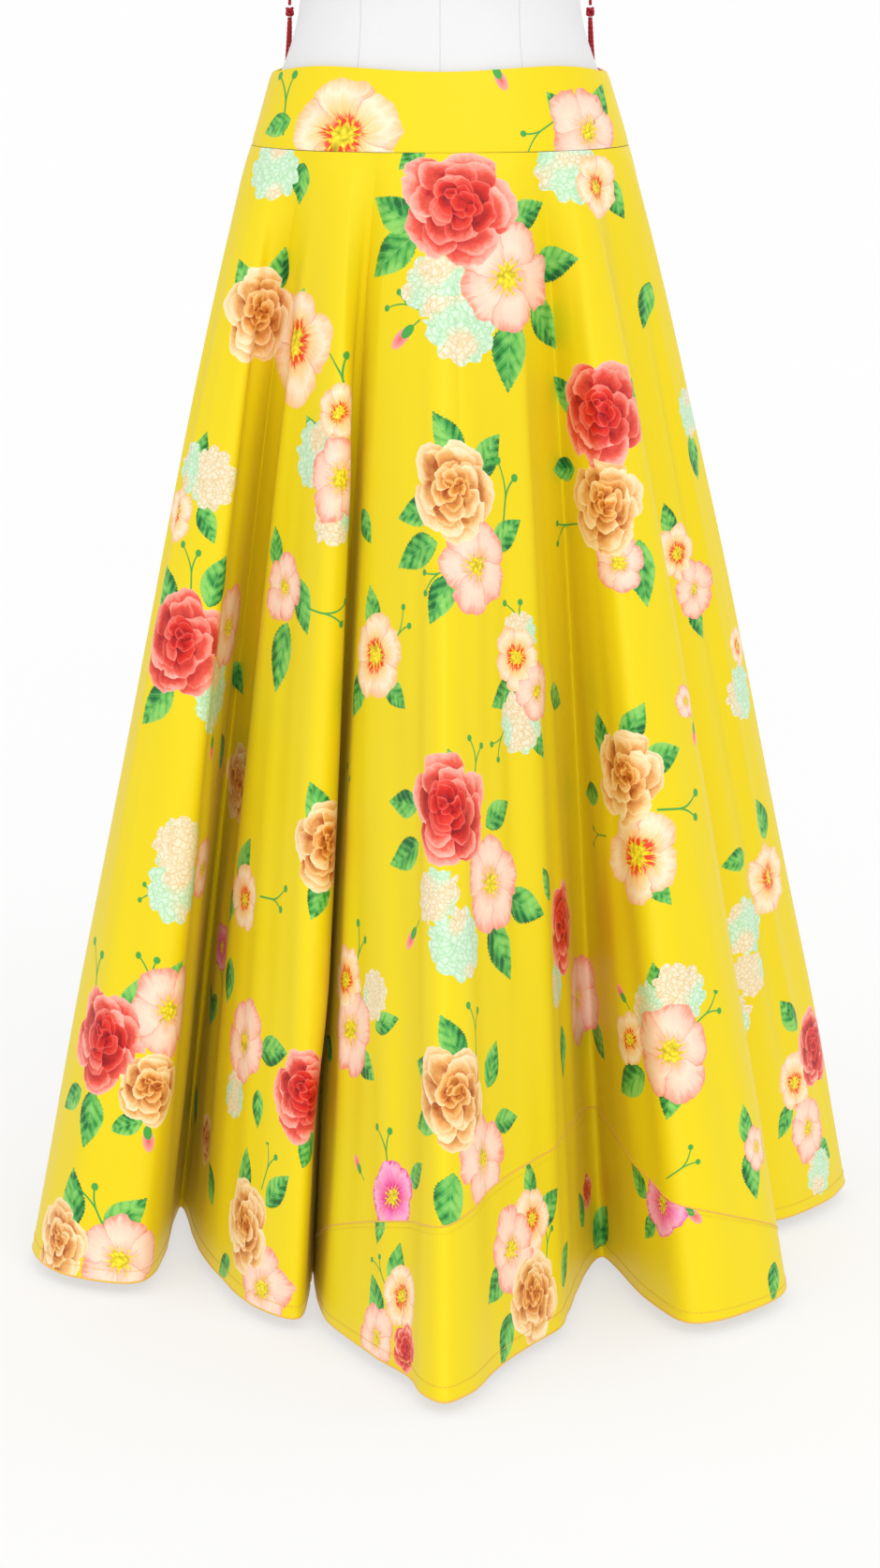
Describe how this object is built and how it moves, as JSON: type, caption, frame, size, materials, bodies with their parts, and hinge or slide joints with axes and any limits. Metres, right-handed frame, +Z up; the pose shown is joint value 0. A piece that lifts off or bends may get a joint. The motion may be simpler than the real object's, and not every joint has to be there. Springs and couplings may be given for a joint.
{
  "type": "lehenga choli on a dress form",
  "caption": "Floral half-circle lehenga skirt on a deep shaped waistband, with a plain sleeveless choli and side ties, worn by a limbless dress form on a round stand.",
  "frame": {"origin": "centre of the stand's round underside, on the floor", "axes": "+Z up; +X to the right as seen from the front; the garment's front faces -Y"},
  "size_m": [0.7396, 0.8526, 1.5383],
  "materials": {
    "yellow_satin": "soft satin crepe with a printed floral pattern",
    "red_cotton": "matt cotton silk, deep red",
    "white_jersey": "matt jersey over a firm form",
    "white_enamel": "satin enamel",
    "brushed_steel": "brushed"
  },
  "bodies": {
    "root": {"base_plate": "white_enamel", "pole_collar": "white_enamel", "pole": "brushed_steel", "neck_cap": "white_enamel", "form_torso": "white_jersey", "waistband_front": "yellow_satin", "waistband_back": "yellow_satin", "skirt_front": "yellow_satin", "skirt_back": "yellow_satin", "hem_corner": "yellow_satin", "choli_front": "red_cotton", "choli_back": "red_cotton", "tie_left_front": "red_cotton", "tie_left_back": "red_cotton", "tail_left_a": "red_cotton", "tail_left_b": "red_cotton", "knot_left": "red_cotton", "tie_right_front": "red_cotton", "tie_right_back": "red_cotton", "tail_right_a": "red_cotton", "tail_right_b": "red_cotton", "knot_right": "red_cotton"}
  },
  "joints": []
}
